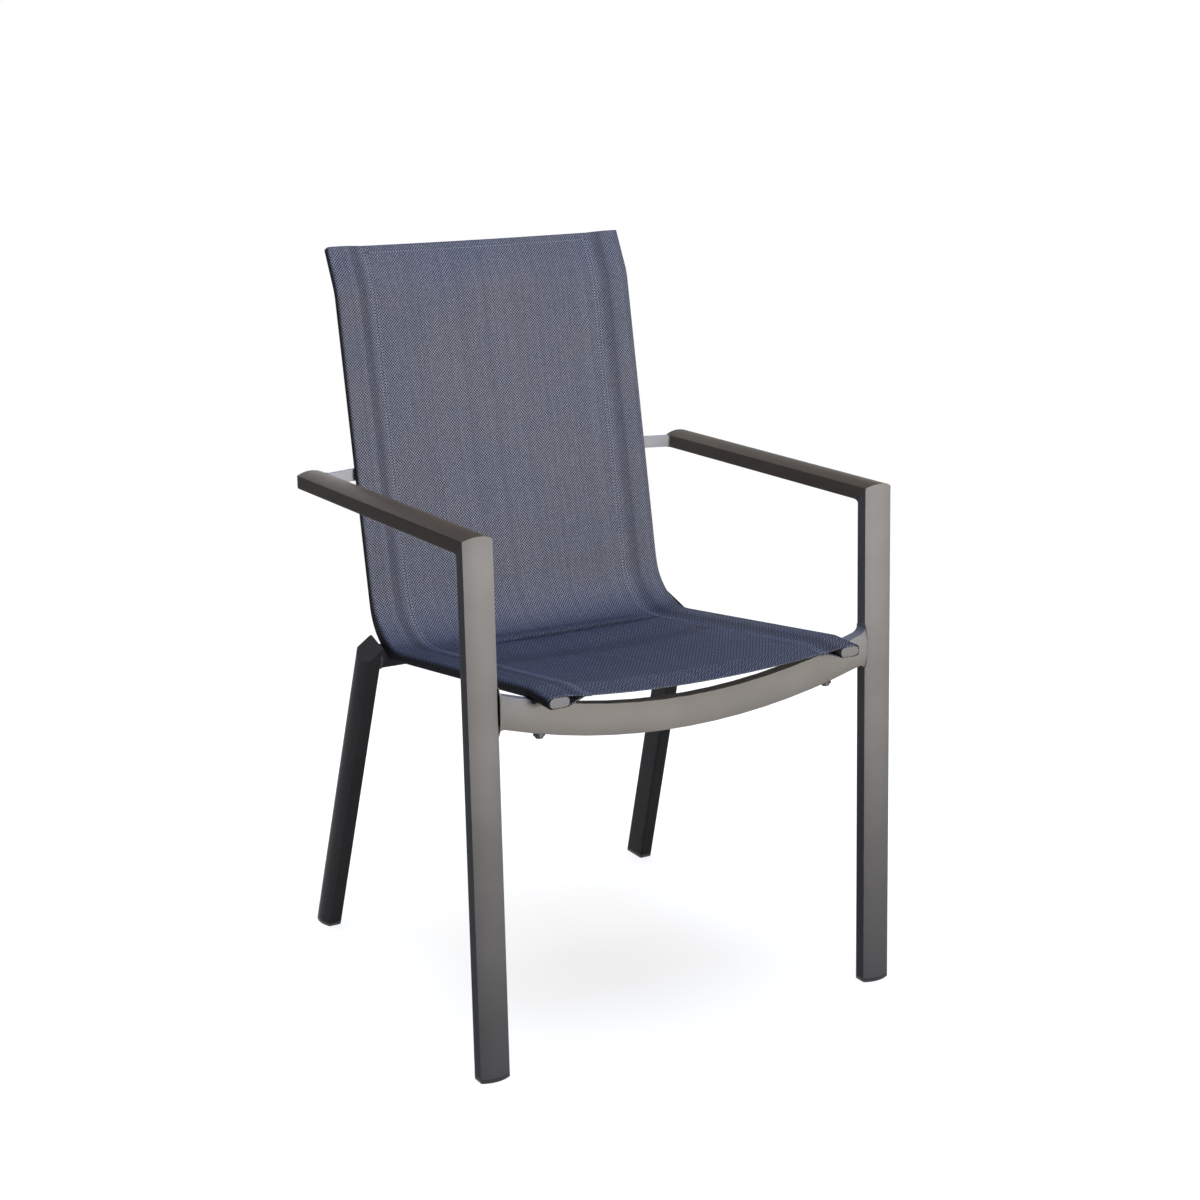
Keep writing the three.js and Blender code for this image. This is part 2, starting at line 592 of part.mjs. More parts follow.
for (const [word, side] of sides) {
  const leg = rearLeg(side);
  const bevelNormal = leg.v.clone().sub(leg.axis).normalize();
  const bevel = (depth) => endOn(leg, planeAt(bevelNormal, along(leg.edge, bevelNormal, -depth)));
  const foot = endOn(leg, floorPlane(GLIDE_HEIGHT + GAP));
  add(`rear_leg_${word}`, loft(frameTube, [bevel(COVER_THICKNESS + WELD_GAP), foot]), 'frame');
  add(`rear_leg_cover_${word}`, loft(frameBar(0), [bevel(COVER_THICKNESS), bevel(0)]), 'frame');
  add(`foot_glide_rear_${word}`, glide(leg), 'plastic');
}

// Bolted joints. Distances run along the bolt's axis from a point inside the frame member: under is the
// pocket's underside, nut the lower side of the nut, and seat the underside of the bolt's head.
function straightJoint(point, angle, seat) {
  const inward = faceNormal(angle);
  const face = vec(point.x, seatBack.x, seatBack.y).sub(point).dot(inward);
  return { point, inward, under: face - POCKET_THICKNESS, nut: face - RAIL_UNDER + RAIL_WALL + GAP, seat };
}

function bentJoint(x) {
  const point = along(crossTube.origin, rearBack, -REAR_BOLT_OFFSET).setX(x);
  const aside = Math.abs(bendCentre.clone().sub(point).dot(rearBack));
  const height = (depth, reach) =>
    bendCentre.clone().sub(point).dot(rearUp) - Math.sqrt((SEAT_BACK_RADIUS + depth) ** 2 - reach ** 2);
  const under = height(POCKET_THICKNESS, aside);
  const nut = height(RAIL_UNDER - RAIL_WALL, aside + NUT_RADIUS) + 2 * GAP;
  return { point, inward: rearUp, under, nut, seat: -TUBE_WALL - GAP };
}

const HALF_SEAT_RAIL = TUBE_WIDTH / 2 + 1; // along the bolt, which is a little aslant
const HALF_LINK_BAR = LINK_BAR_THICKNESS / 2 + 0.2;

const joints = sides.map(([word, side]) => {
  const x = side * RAIL_X;
  const seatMiddle = vec(x, seatSupport.x, seatSupport.y);
  const linkMiddle = vec(x, backSupport.x, backSupport.y);
  return {
    word,
    side,
    front: straightJoint(seatMiddle, -SEAT_ANGLE, -HALF_SEAT_RAIL - SADDLE_THICKNESS - GAP),
    back: straightJoint(linkMiddle, 90 - BACK_ANGLE, -HALF_LINK_BAR - SADDLE_THICKNESS - GAP),
    rear: bentJoint(x),
  };
});

const onAxis = (joint, distance) => along(joint.point, joint.inward, distance);
const pin = (joint, radius, from, to) => rod(radius, to - from, onAxis(joint, from), joint.inward);
const bolthole = (joint, from, to) => pin(joint, BOLT_RADIUS + BOLT_CLEARANCE, from, to);
const intoRail = (joint) => bolthole(joint, joint.under - 2 * OVERLAP, joint.nut + OVERLAP);

function bolt(joint) {
  const length = joint.nut + NUT_HEIGHT + BOLT_TIP - joint.seat;
  const start = onAxis(joint, joint.seat - HEAD_HEIGHT);
  const body = turned([
    [0, 0],
    [HEAD_TOP_RADIUS, 0],
    [HEAD_RIM_RADIUS, HEAD_RIM],
    [HEAD_RADIUS, HEAD_HEIGHT],
    [BOLT_RADIUS, HEAD_HEIGHT],
    [BOLT_RADIUS, HEAD_HEIGHT + length],
    [0, HEAD_HEIGHT + length],
  ], start, joint.inward);
  const outside = along(start, joint.inward, -OVERLAP);
  const socket = rod(SOCKET_RADIUS, SOCKET_DEPTH + OVERLAP, outside, joint.inward, 6);
  return cut(body, socket);
}

const nut = (joint) => cut(
  pin(joint, NUT_RADIUS, joint.nut, joint.nut + NUT_HEIGHT),
  pin(joint, BOLT_RADIUS + GAP, joint.nut - OVERLAP, joint.nut + NUT_HEIGHT + OVERLAP));

const seatRailKeepOut = seatRail(section(dOutline(TUBE_SIDE, TUBE_CROWN, -GAP)));
const linkBarKeepOut = linkBar(GAP);
const behindLinkBar = linkBarKeepOut.clone().translate(0, LINK_BAR_THICKNESS, 0);
const beforeLinkBar = linkBarKeepOut.clone().translate(0, -LINK_BAR_THICKNESS, 0);
const crossTubeHoles = [];
const seatRailHoles = [];
const linkBarHoles = [];
const slingHoles = [];

for (const { word, side, front, rear, back } of joints) {
  const railShape = section(railOutline(side, 0), [railOutline(side, -RAIL_WALL)]);
  const rail = loft(railShape, bentStations(PLUG_FLANGE + GAP, SIDE_LENGTH - PLUG_FLANGE - GAP));
  const railHoles = [front, rear, back].map(intoRail);
  add(`sling_rail_${word}`, cut(rail, ...railHoles), 'frame');
  const top = SIDE_LENGTH - PLUG_FLANGE;
  add(`nose_plug_${word}`, railPlug(side, [0, PLUG_FLANGE], [OVERLAP, PLUG_FLANGE + PLUG_DEPTH]), 'plug');
  const topStub = [top - PLUG_DEPTH, top + OVERLAP];
  add(`top_plug_${word}`, railPlug(side, [top, SIDE_LENGTH], topStub), 'plug');

  const frontHole = bolthole(front, front.seat - OVERLAP, front.under + OVERLAP);
  const backHole = bolthole(back, back.seat - OVERLAP, back.under + OVERLAP);
  const rearHole = bolthole(rear, -TUBE_WALL - OVERLAP, rear.under + 2 * OVERLAP);
  const disc = (joint, from, to, ...tools) => cut(pin(joint, SPACER_RADIUS, from, to), ...tools);
  add(`front_spacer_${word}`, disc(front, 0, front.under - GAP, seatRailKeepOut, frontHole), 'plastic');
  add(`front_saddle_${word}`, disc(front, front.seat + GAP, 0, seatRailKeepOut, frontHole), 'plastic');
  const backSpacer = disc(back, 0, back.under - GAP, linkBarKeepOut, behindLinkBar, backHole);
  const backSaddle = disc(back, back.seat + GAP, 0, linkBarKeepOut, beforeLinkBar, backHole);
  add(`back_spacer_${word}`, backSpacer, 'plastic');
  add(`back_saddle_${word}`, backSaddle, 'plastic');
  add(`rear_spacer_${word}`, disc(rear, GAP, rear.under + OVERLAP, pocketKeepOut(side), rearHole), 'plastic');
  for (const [place, joint] of Object.entries({ front, rear, back })) {
    add(`${place}_bolt_${word}`, bolt(joint), 'steel');
    add(`${place}_nut_${word}`, nut(joint), 'steel');
  }
  seatRailHoles.push(frontHole);
  linkBarHoles.push(backHole);
  crossTubeHoles.push(rearHole, pin(rear, ACCESS_RADIUS, -2 * CROSS_TUBE_SIDE, -CROSS_TUBE_SIDE));
  slingHoles.push(...railHoles);
}

add('front_seat_rail', cut(seatRail(frameTube), ...seatRailHoles), 'frame');
add('back_link_bar', cut(linkBar(0), ...linkBarHoles), 'frame');

const crossEnds = [-1, 1].map((side) => {
  const leg = rearLeg(side);
  return endOn(crossTube, planeAt(leg.v, along(leg.origin, leg.v, -WELD_GAP)));
});
const crossShape = dTube(CROSS_TUBE_SIDE, CROSS_TUBE_CROWN);
add('rear_cross_tube', cut(loft(crossShape, crossEnds), ...crossTubeHoles), 'frame');

const slingPlaces = placesBetween(NOSE_INSET, SIDE_LENGTH + TOP_OVERHANG, ['bent', 'straight']);
add('sling', cut(loft(slingSection(), slingPlaces.map(slingStation)), ...slingHoles), 'fabric');

// The origin is the middle of the footprint
const box = new THREE.Box3().setFromObject(chair);
const middle = box.getCenter(vec(0, 0, 0));
for (const mesh of chair.children) mesh.geometry.translate(-middle.x, -middle.y, -box.min.z);

export default chair;
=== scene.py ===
import math

import bpy
import numpy as np
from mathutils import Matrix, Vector


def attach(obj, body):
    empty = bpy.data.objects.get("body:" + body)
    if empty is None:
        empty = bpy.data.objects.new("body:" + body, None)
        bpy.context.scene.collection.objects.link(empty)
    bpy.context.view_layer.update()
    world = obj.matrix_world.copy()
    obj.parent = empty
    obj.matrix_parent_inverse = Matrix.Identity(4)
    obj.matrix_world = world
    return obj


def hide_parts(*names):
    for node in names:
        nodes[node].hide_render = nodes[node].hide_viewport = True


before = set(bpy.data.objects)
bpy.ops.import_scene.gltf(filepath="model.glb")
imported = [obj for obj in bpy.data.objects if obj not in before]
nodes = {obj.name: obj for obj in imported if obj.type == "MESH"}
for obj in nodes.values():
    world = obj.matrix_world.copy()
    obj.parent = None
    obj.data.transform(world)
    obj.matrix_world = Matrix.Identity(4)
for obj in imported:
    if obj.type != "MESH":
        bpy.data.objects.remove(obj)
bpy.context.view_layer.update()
rng = np.random.default_rng(7)
MM = 0.001

# Camera, as the photograph was taken

CAMERA_AZIMUTH = -30.66
CAMERA_ELEVATION = 14.89
CAMERA_TARGET = (0.02688, 0.00710, 0.46719)
CAMERA_DISTANCE = 2.84627
CAMERA_LENS = 68.08
CAMERA_SENSOR = 36


def set_round(obj, azimuth, elevation, distance, target):
    """Puts a camera or a lamp round the chair, facing a target. Azimuth 0 is the chair's front."""
    azimuth, elevation = math.radians(azimuth), math.radians(elevation)
    level = math.cos(elevation)
    away = Vector((math.sin(azimuth) * level, -math.cos(azimuth) * level, math.sin(elevation)))
    bpy.context.scene.collection.objects.link(obj)
    obj.location = Vector(target) + away * distance
    obj.rotation_euler = (-away).to_track_quat("-Z", "Y").to_euler()


camera = bpy.data.objects.new("camera", bpy.data.cameras.new("camera"))
set_round(camera, CAMERA_AZIMUTH, CAMERA_ELEVATION, CAMERA_DISTANCE, CAMERA_TARGET)
camera.data.lens = CAMERA_LENS
camera.data.sensor_width = CAMERA_SENSOR
bpy.context.scene.camera = camera


# Node graphs

class Graph:
    """A node tree whose maths can be written as calls. A value is a socket or a number."""

    def __init__(self, tree):
        self.tree = tree

    def node(self, kind, **settings):
        """A new node with its settings."""
        made = self.tree.nodes.new(kind)
        for key, value in settings.items():
            setattr(made, key, value)
        return made

    def put(self, value, socket):
        """Links a value that is a socket, or sets one that is a number or a colour."""
        if isinstance(value, bpy.types.NodeSocket):
            self.tree.links.new(value, socket)
        else:
            socket.default_value = value

    def math(self, operation, *values):
        """Result of an operation on values."""
        made = self.node("ShaderNodeMath", operation=operation)
        for value, socket in zip(values, made.inputs):
            self.put(value, socket)
        return made.outputs[0]

    def mix(self, share, one, other):
        """Colour at a share of the way from one colour to another."""
        made = self.node("ShaderNodeMix", data_type="RGBA")
        self.put(share, made.inputs[0])
        self.put(one, made.inputs[6])
        self.put(other, made.inputs[7])
        return made.outputs[2]

    def ramp(self, value, low, high, start=0.0, end=1.0, interpolation="SMOOTHSTEP"):
        """A value's run from low to high, as a run from start to end."""
        made = self.node("ShaderNodeMapRange", interpolation_type=interpolation)
        for item, socket in zip((value, low, high, start, end), made.inputs):
            self.put(item, socket)
        return made.outputs[0]

    def choose(self, share, one, other):
        """Shader at a share of the way from one shader to another."""
        made = self.node("ShaderNodeMixShader")
        for value, socket in zip((share, one, other), made.inputs):
            self.put(value, socket)
        return made.outputs[0]

    def seen(self):
        """1 for camera, glossy and transmission rays, and 0 for those that light the chair."""
        path = self.node("ShaderNodeLightPath").outputs
        seen = self.math("MAXIMUM", path["Is Camera Ray"], path["Is Glossy Ray"])
        return self.math("MAXIMUM", seen, path["Is Transmission Ray"])


class Material(Graph):
    """A material with a Principled BSDF."""

    def __init__(self, name):
        self.made = bpy.data.materials.new(name)
        self.made.use_nodes = True
        super().__init__(self.made.node_tree)
        self.bsdf = self.tree.nodes["Principled BSDF"]

    def noise(self, vector, scale, detail, roughness):
        """Noise from 0 to 1 at a vector, in features per metre."""
        made = self.node("ShaderNodeTexNoise")
        self.put(vector, made.inputs["Vector"])
        made.inputs["Scale"].default_value = scale
        made.inputs["Detail"].default_value = detail
        made.inputs["Roughness"].default_value = roughness
        return made.outputs["Fac"]

    def bump(self, height, distance, strength):
        """Normal of a surface with a height of 0 to 1 over a distance."""
        made = self.node("ShaderNodeBump")
        made.inputs["Strength"].default_value = strength
        made.inputs["Distance"].default_value = distance
        self.put(height, made.inputs["Height"])
        return made.outputs[0]

    def place(self):
        """Place on the piece, in metres."""
        return self.node("ShaderNodeTexCoord").outputs["Object"]

    def set(self, **values):
        """Sets inputs of the Principled BSDF by their names, with _ for a space."""
        for name, value in values.items():
            self.put(value, self.bsdf.inputs[name.replace("_", " ")])


def rgb(red, green, blue):
    """Scene colour of an sRGB colour given in 0 to 255."""
    def linear(value):
        value /= 255
        return value / 12.92 if value <= 0.04045 else ((value + 0.055) / 1.055) ** 2.4
    return (linear(red), linear(green), linear(blue), 1.0)


def scaled(colour, factor):
    """A lighter or darker colour of the same hue."""
    return tuple(c * factor for c in colour[:3]) + (1.0,)


# Materials of the frame and its fittings

FLAKE_COLOUR = rgb(132, 128, 124)
COAT_SPECULAR = 0.04


def powder_coat(name, colour):
    """Fine-textured satin powder coat with small lighter grains."""
    m = Material(name)
    place = m.place()
    grain = m.noise(place, scale=1400, detail=2, roughness=0.6)
    cloud = m.noise(place, scale=9, detail=3, roughness=0.55)
    flake = m.ramp(m.noise(place, scale=2600, detail=1, roughness=0.5), 0.62, 0.72)
    plain = m.mix(m.ramp(cloud, 0.35, 0.65), colour, scaled(colour, 1.12))
    m.set(
        Base_Color=m.mix(m.math("MULTIPLY", flake, 0.25), plain, FLAKE_COLOUR),
        Roughness=m.ramp(grain, 0.3, 0.7, 0.46, 0.58),
        Normal=m.bump(grain, distance=0.12 * MM, strength=0.5),
        Specular_IOR_Level=COAT_SPECULAR,
    )
    return m.made


def plastic(name, colour, roughness, speckle=0.0):
    """Moulded plastic with a faint grain, speckled where a speckle is given."""
    m = Material(name)
    place = m.place()
    grain = m.noise(place, scale=900, detail=2, roughness=0.5)
    spots = m.ramp(m.noise(place, scale=700, detail=2, roughness=0.6), 0.5, 0.62)
    m.set(
        Base_Color=m.mix(m.math("MULTIPLY", spots, speckle), colour, scaled(colour, 0.45)),
        Roughness=m.ramp(grain, 0.3, 0.7, roughness - 0.06, roughness + 0.06),
        Normal=m.bump(grain, distance=0.06 * MM, strength=0.5),
    )
    return m.made


def plated(name, dark, light):
    """Plated steel with faint clouds."""
    m = Material(name)
    cloud = m.noise(m.place(), scale=260, detail=3, roughness=0.6)
    m.set(
        Base_Color=m.mix(cloud, dark, light),
        Metallic=1.0,
        Roughness=m.ramp(cloud, 0.3, 0.7, 0.25, 0.42),
    )
    return m.made


BLACK = plastic("black_plastic", rgb(30, 30, 31), 0.5)
GREY = plastic("grey_plastic", rgb(92, 90, 89), 0.6, speckle=0.6)
COAT = powder_coat("powder_coat", rgb(106, 103, 99))
# The arms' copy of the frame's powder coat is warmer, as painted light: it stands in for warm light falling
# on the arms.
ARM_COAT_PAINTED_LIGHT = powder_coat("arm_coat_painted_light", rgb(110, 101, 91))
# The link bar's copy of the frame's powder coat is lighter, as painted light falling on the bar.
BAR_COAT_PAINTED_LIGHT = powder_coat("bar_coat_painted_light", rgb(132, 131, 131))
STEEL = plated("black_steel", rgb(62, 62, 64), rgb(84, 84, 86))

# Frame: the CAD nodes with softened edges. The first word found in a node's name gives its finish.

FINISHES = {
    "link_bar": (BAR_COAT_PAINTED_LIGHT, "frame_coat"),
    "armrest_end": (BLACK, "black_plastic"),
    "armrest": (ARM_COAT_PAINTED_LIGHT, "frame_coat"),
    "plug": (GREY, "grey_plastic"),
    "glide": (BLACK, "black_plastic"),
    "spacer": (BLACK, "black_plastic"),
    "saddle": (BLACK, "black_plastic"),
    "bolt": (STEEL, "steel"),
    "nut": (STEEL, "steel"),
}
PLAIN_FINISH = (COAT, "frame_coat")
EDGE_RADIUS = 0.6 * MM
SMALL_EDGE_RADIUS = 0.3 * MM
SMALL_EDGED = ("back_link_bar", "front_seat_rail")
SHARP_ANGLE = math.radians(35)
SAME_PLACE = 0.01 * MM


def soften(obj, radius):
    """Rounds the sharp edges of a node and smooths its facets, by modifiers alone."""
    mesh = obj.data
    if mesh.attributes.get("custom_normal"):
        mesh.attributes.remove(mesh.attributes["custom_normal"])
    mesh.polygons.foreach_set("use_smooth", [True] * len(mesh.polygons))
    weld = obj.modifiers.new("weld", "WELD")
    weld.merge_threshold = SAME_PLACE
    bevel = obj.modifiers.new("bevel", "BEVEL")
    bevel.width = radius
    bevel.segments = 2
    bevel.limit_method = "ANGLE"
    bevel.angle_limit = SHARP_ANGLE
    bevel.use_clamp_overlap = True
    weighted = obj.modifiers.new("weighted", "WEIGHTED_NORMAL")
    weighted.mode = "FACE_AREA"
    weighted.weight = 50


for name, obj in nodes.items():
    if name == "sling":
        continue
    material, slot = next((f for word, f in FINISHES.items() if word in name), PLAIN_FINISH)
    obj.data.materials.clear()
    obj.data.materials.append(material)
    small = slot != "frame_coat" or name in SMALL_EDGED
    soften(obj, SMALL_EDGE_RADIUS if small else EDGE_RADIUS)


def build(name, vertices, faces, material):
    """A smooth piece of the chair that rides on its only body."""
    mesh = bpy.data.meshes.new(name)
    mesh.from_pydata(np.asarray(vertices), [], faces)
    mesh.update()
    mesh.polygons.foreach_set("use_smooth", [True] * len(mesh.polygons))
    obj = bpy.data.objects.new(name, mesh)
    bpy.context.scene.collection.objects.link(obj)
    mesh.materials.append(material)
    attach(obj, "root")
    return obj


# Weld beads round the ends of the cross members: the radius of each, how rippled it is, and how far
# from a member's end its outline is looked for. The cross tube's ends are cut at an angle.

BEADS = {
    "front_seat_rail": (0.6 * MM, 0, 0.05 * MM),
    "back_link_bar": (0.9 * MM, 1, 0.05 * MM),
    "rear_cross_tube": (1.3 * MM, 1, 4.5 * MM),
}
BEAD_PITCH = 0.9 * MM
BEAD_SIDES = 10
RIPPLE_PACE = 0.9
RIPPLE_HEIGHT = 0.16
RIPPLE_JITTER = 0.08


def hull(points):
    """Convex outline of points in a plane, anticlockwise."""
    points = sorted(set(map(tuple, points)))

    def chain(items):
        made = []
        for p in items:
            while len(made) > 1:
                (ax, ay), (bx, by) = made[-2:]
                if (bx - ax) * (p[1] - ay) - (by - ay) * (p[0] - ax) > 0:
                    break
                made.pop()
            made.append(p)
        return made[:-1]

    return chain(points) + chain(points[::-1])


def end_ring(node, side, depth):
    """Outline of the end face of a cross member, with the x of each of its points."""
    points = np.array([v.co for v in nodes[node].data.vertices])
    outwards = side * points[:, 0]
    near = points[outwards > outwards.max() - depth]
    ring = []
    for y, z in hull(np.round(near[:, 1:], 6)):
        same = near[np.hypot(near[:, 1] - y, near[:, 2] - z) < SAME_PLACE]
        ring.append((side * (side * same[:, 0]).max(), y, z))
    return np.array(ring)


def resample(ring, pitch):
    """Points at an even pitch along a closed line."""
    closed = np.vstack([ring, ring[:1]])
    lengths = np.r_[0, np.cumsum(np.linalg.norm(np.diff(closed, axis=0), axis=1))]
    count = max(int(lengths[-1] / pitch), 8)
    at = np.linspace(0, lengths[-1], count, endpoint=False)
    return np.stack([np.interp(at, lengths, closed[:, k]) for k in range(3)], axis=1)


def bead(name, ring, radius, ripples):
    """A weld bead along a closed line, rippled as the welder moved on or ground smooth."""
    line = resample(ring, BEAD_PITCH)
    count = len(line)
    tangent = np.roll(line, -1, axis=0) - np.roll(line, 1, axis=0)
    tangent /= np.linalg.norm(tangent, axis=1)[:, None]
    x_axis = np.array([1.0, 0, 0])
    outward = np.cross(tangent, x_axis)
    outward /= np.linalg.norm(outward, axis=1)[:, None]
    if np.mean(np.einsum("ij,ij->i", outward, line - line.mean(0))) < 0:
        outward = -outward
    regular = RIPPLE_HEIGHT * np.abs(np.sin(np.arange(count) * RIPPLE_PACE))
    ripple = 1 + ripples * (regular + RIPPLE_JITTER * rng.standard_normal(count))
    vertices, faces = [], []
    for i in range(count):
        for k in range(BEAD_SIDES):
            turn = 2 * math.pi * k / BEAD_SIDES
            offset = outward[i] * math.cos(turn) + x_axis * math.sin(turn)
            vertices.append(line[i] + offset * radius * ripple[i])
    for i in range(count):
        a, b = i * BEAD_SIDES, (i + 1) % count * BEAD_SIDES
        for k in range(BEAD_SIDES):
            n = (k + 1) % BEAD_SIDES
            faces.append((a + k, a + n, b + n, b + k))
    return build(name, vertices, faces, COAT)


for node, (radius, ripples, depth) in BEADS.items():
    for word, side in (("left", -1), ("right", 1)):
        bead(f"{node}_weld_{word}", end_ring(node, side, depth), radius, ripples)


# Side line of the sling in the YZ plane: straights joined by arcs, from the nose to the top

NOSE_DROP, SEAT_ANGLE, BACK_ANGLE, TOP_ANGLE = 2.0, 7.4, 11.8, 27.5
SEAT_BACK = np.array([0.15462, 0.4047])  # where the lines of the seat and the back cross
LENGTHS = [46 * MM, 398 * MM, 447.8 * MM, 58 * MM]  # from crossing to crossing
RADII = [30 * MM, 57 * MM, 75 * MM]
HEADINGS = [math.radians(a) for a in (NOSE_DROP, -SEAT_ANGLE, 90 - BACK_ANGLE, 90 - TOP_ANGLE)]
LINE_STEP = 0.5 * MM


def heading_vector(angle):
    """Unit vector in the YZ plane."""
    return np.array([math.cos(angle), math.sin(angle)])


def side_line():
    """Distance, y, z and heading along the face of the fabric at its sides."""
    corner = SEAT_BACK - LENGTHS[1] * heading_vector(HEADINGS[1])
    point = corner - LENGTHS[0] * heading_vector(HEADINGS[0])
    turns = [b - a for a, b in zip(HEADINGS, HEADINGS[1:])]
    setbacks = [0, *(r * math.tan(abs(turn) / 2) for r, turn in zip(RADII, turns)), 0]
    rows = []
    distance = 0.0
    for i, (length, angle) in enumerate(zip(LENGTHS, HEADINGS)):
        ahead = heading_vector(angle)
        straight = length - setbacks[i] - setbacks[i + 1]
        steps = max(round(straight / LINE_STEP), 1)
        for k in range(steps):
            gone = straight * k / steps
            rows.append((distance + gone, *(point + gone * ahead), angle))
        point = point + straight * ahead
        distance += straight
        if i == len(RADII):
            rows.append((distance, *point, angle))
            break
        turn = turns[i]
        steps = max(round(RADII[i] * abs(turn) / LINE_STEP), 4)
        step_turn = abs(turn / steps)
        for k in range(steps):
            rows.append((distance, *point, angle + turn * k / steps))
            chord = heading_vector(angle + turn * (k + 0.5) / steps)
            point = point + 2 * RADII[i] * math.sin(step_turn / 2) * chord
            distance += RADII[i] * step_turn
    return np.array(rows)


LINE = side_line()
SIDE_LENGTH = LINE[-1, 0]
BEND_TURN = HEADINGS[2] - HEADINGS[1]
BEND_START = LENGTHS[0] + LENGTHS[1] - RADII[1] * math.tan(BEND_TURN / 2)
BEND_END = BEND_START + RADII[1] * BEND_TURN
SLING_FROM = 1 * MM
SLING_TO = SIDE_LENGTH + 1.5 * MM


def on_line(s):
    """y, z and heading at distances along the side line, past its ends too."""
    y, z, angle = (np.interp(s, LINE[:, 0], LINE[:, k]) for k in (1, 2, 3))
    under = np.minimum(s, 0)
    over = np.maximum(s - SIDE_LENGTH, 0)
    y = y + under * math.cos(HEADINGS[0]) + over * math.cos(HEADINGS[3])
    z = z + under * math.sin(HEADINGS[0]) + over * math.sin(HEADINGS[3])
    return y, z, angle


# Cross-section of the sling: middle of the fabric from the middle of the sheet, over and round the
# rail, to the free edge of the hem

FABRIC = 0.9 * MM
SEAM_X = 165 * MM
HEM = 8 * MM
RAIL_X = 198.05 * MM
RAIL_HALF_WIDTH = 12.75 * MM
RAIL_HALF_THICKNESS = 5.75 * MM
POCKET_CORNER = 3 * MM
RAIL_GAP = 0.3 * MM
POCKET_THICKNESS = 2 * (RAIL_HALF_THICKNESS + RAIL_GAP + FABRIC)
LAYER_GAP = 0.08 * MM
SEAM_DEPTH = 3.2 * MM
SHEET_DEPTH = SEAM_DEPTH + FABRIC / 2
HEM_DEPTH = SHEET_DEPTH + FABRIC + LAYER_GAP
SHEET_STEP = 4 * MM
POCKET_STEP = 1.6 * MM
SEAM_STEP = 1 * MM
SEAM_ZONE = 24 * MM  # inside the seam


def half_section():
    """x and depth below the face, with the distance along the cloth."""
    radius = POCKET_CORNER + RAIL_GAP + FABRIC / 2
    cx = RAIL_HALF_WIDTH - POCKET_CORNER
    cy = RAIL_HALF_THICKNESS - POCKET_CORNER
    middle = POCKET_THICKNESS / 2
    points = [(0.0, SHEET_DEPTH), (SEAM_X - HEM, SHEET_DEPTH), (SEAM_X, SHEET_DEPTH)]

    def corner(sx, sy, start, end, steps=8):
        """Arc round the rail's corner at a sign of x and of height."""
        for k in range(steps + 1):
            turn = math.radians(start + (end - start) * k / steps)
            x = RAIL_X + sx * cx + radius * math.cos(turn)
            points.append((x, middle - sy * cy - radius * math.sin(turn)))

    def lean(seam_depth, side):
        """Angle at which a layer between the seam and the rail's inner corner touches that corner."""
        rise = side * (middle - seam_depth) - cy
        run = RAIL_X - cx - SEAM_X
        return math.degrees(math.asin(radius / math.hypot(run, rise)) + math.atan2(-rise, run)) + 90

    corner(-1, 1, lean(SHEET_DEPTH, 1), 90, 4)
    corner(1, 1, 90, 0)
    corner(1, -1, 0, -90)
    corner(-1, -1, -90, -lean(HEM_DEPTH, -1), 4)
    points += [(SEAM_X, HEM_DEPTH), (SEAM_X - HEM, HEM_DEPTH)]
    points = np.array(points)
    lengths = np.r_[0, np.cumsum(np.linalg.norm(np.diff(points, axis=0), axis=1))]
    at = []
    for a, b in zip(lengths, lengths[1:]):
        step = SHEET_STEP if a == 0 else POCKET_STEP
        at += list(np.linspace(a, b, max(round((b - a) / step), 1), endpoint=False))
    at += [lengths[-1], *np.arange(SEAM_X - SEAM_ZONE, SEAM_X, SEAM_STEP)]
    at = np.unique(np.round(at, 7))
    return at, np.interp(at, lengths, points[:, 0]), np.interp(at, lengths, points[:, 1])


HALF_U, HALF_X, HALF_D = half_section()
SHEET_U = np.r_[-HALF_U[:0:-1], HALF_U]
SHEET_X = np.r_[-HALF_X[:0:-1], HALF_X]
SHEET_D = np.r_[HALF_D[:0:-1], HALF_D]

# Hollow of the sheet below its sides on the middle line, at distances along the side line

SAGS = [
    (0.0, 8 * MM),
    (LENGTHS[0] + LENGTHS[1] / 2, 7 * MM),
    (BEND_END - RADII[1] / 2, -3 * MM),
    (BEND_END + LENGTHS[2] / 2, 5 * MM),
    (SLING_TO, 2 * MM),
]


def sag_at(s):
    """Hollow between the values of SAGS, eased, and the end values past them."""
    made = np.zeros_like(s)
    for (a, low), (b, high) in zip(SAGS, SAGS[1:]):
        t = np.clip((s - a) / (b - a), 0, 1)
        smooth = t * t * (3 - 2 * t)
        made = np.where((s >= a) & (s <= b), low + (high - low) * smooth, made)
    made = np.where(s < SAGS[0][0], SAGS[0][1], made)
    return np.where(s > SAGS[-1][0], SAGS[-1][1], made)


# Relief of the cloth

STITCH_ROWS = (158.6 * MM, 163.2 * MM)
TOP_HEM = 9.5 * MM
ROW_PULL = 0.3 * MM  # how deep a stitch row pulls the cloth in
ROW_PULL_WIDTH = 1.1 * MM
PUCKER_X = 160 * MM
PUCKER_REACH = 9 * MM
PUCKER_PITCH = 11 * MM
PUCKER_HEIGHT = 0.28 * MM
SHEET_FADE = 60 * MM  # inside the seam, where the sheet's folds come in
FOLDS = [  # middle, half width and height of each fold
    (BEND_START - 101 * MM, 30 * MM, -1.6 * MM),
    (BEND_START - 58 * MM, 18 * MM, 0.9 * MM),
    (BEND_START - 26 * MM, 6 * MM, -2.0 * MM),
    (BEND_START - 6 * MM, 13 * MM, 2.0 * MM),
    (BEND_END + 12 * MM, 9 * MM, -0.9 * MM),
    (BEND_END + 34 * MM, 10 * MM, 0.8 * MM),
]
FOLD_DRIFT = 6 * MM
FOLD_DRIFT_SCALE = 130 * MM
WAVE_HEIGHT = 0.5 * MM
